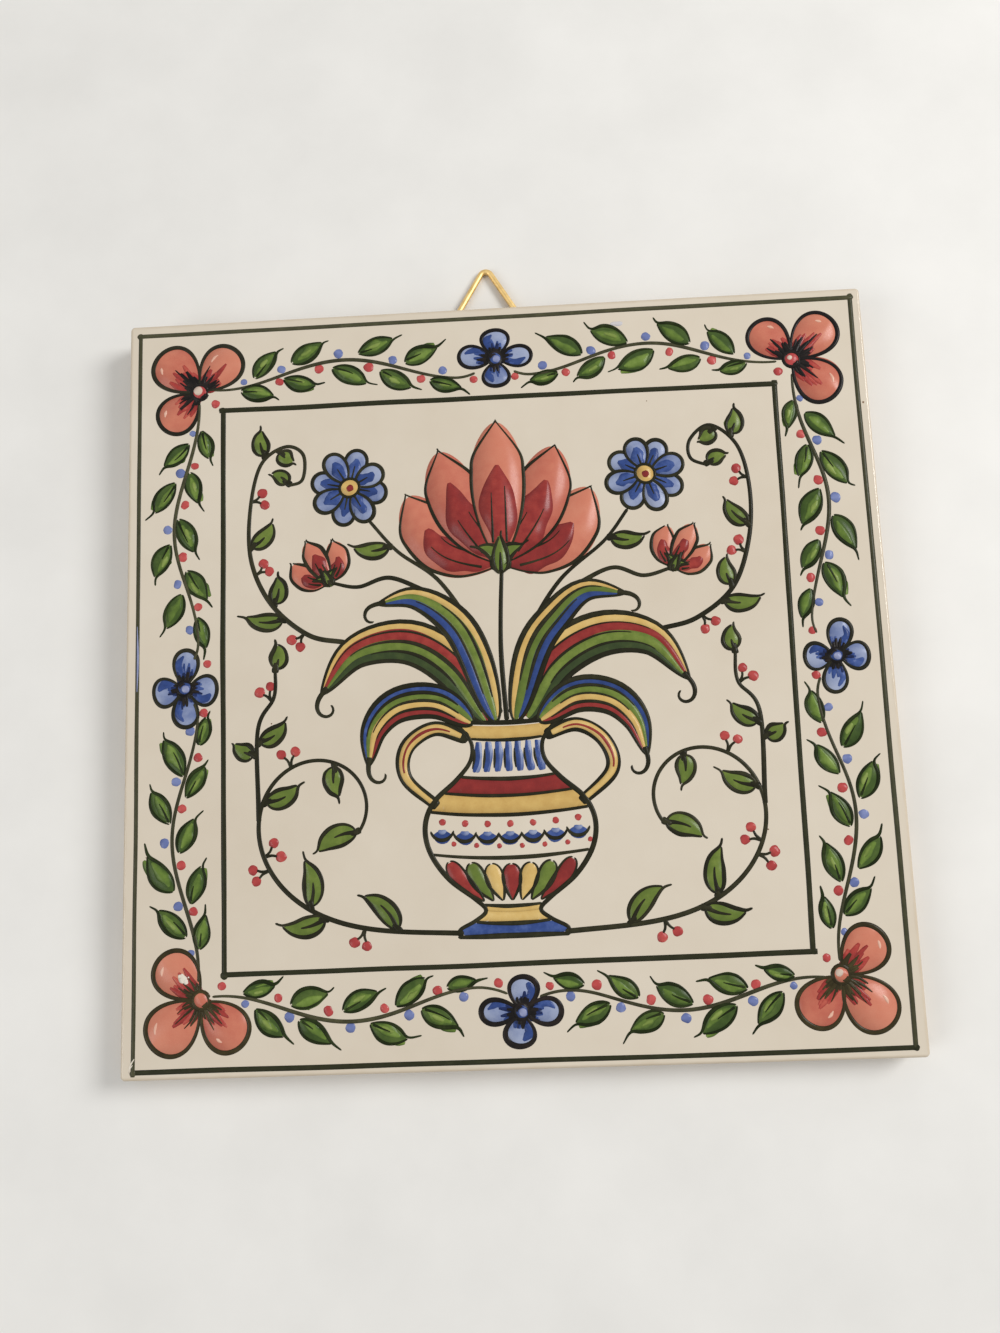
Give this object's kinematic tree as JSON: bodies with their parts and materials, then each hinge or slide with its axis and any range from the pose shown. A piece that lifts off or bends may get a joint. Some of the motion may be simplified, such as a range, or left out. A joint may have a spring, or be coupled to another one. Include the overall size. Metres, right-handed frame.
{
  "type": "hand-painted ceramic tile",
  "caption": "Square glazed ceramic tile with a painted floral border, ribbed back and a triangular wire hanging ring hinged in a glued strap.",
  "frame": {"origin": "centre of the tile's back, on the plane of its rim and bars", "axes": "+Z out of the painted face, +Y towards the edge with the hanging ring, +X to the right as seen from the front with the ring at the top"},
  "size_m": [0.15, 0.1628, 0.0084],
  "materials": {
    "glazed_tile": "glossy cream glaze on buff biscuit",
    "brass_wire": "drawn wire, dulled",
    "steel_strip": "zinc-plated strip, dull"
  },
  "bodies": {
    "tile": {"tile": "glazed_tile", "hanger_strap": "steel_strip"},
    "ring": {"hanger_ring": "brass_wire"}
  },
  "joints": [
    {"name": "ring_swing", "type": "hinge", "parent": "tile", "child": "ring", "pos_m": [-0.001, 0.0711, -0.0011], "axis": [-1, 0, 0], "range_deg": [-8, 170]}
  ]
}
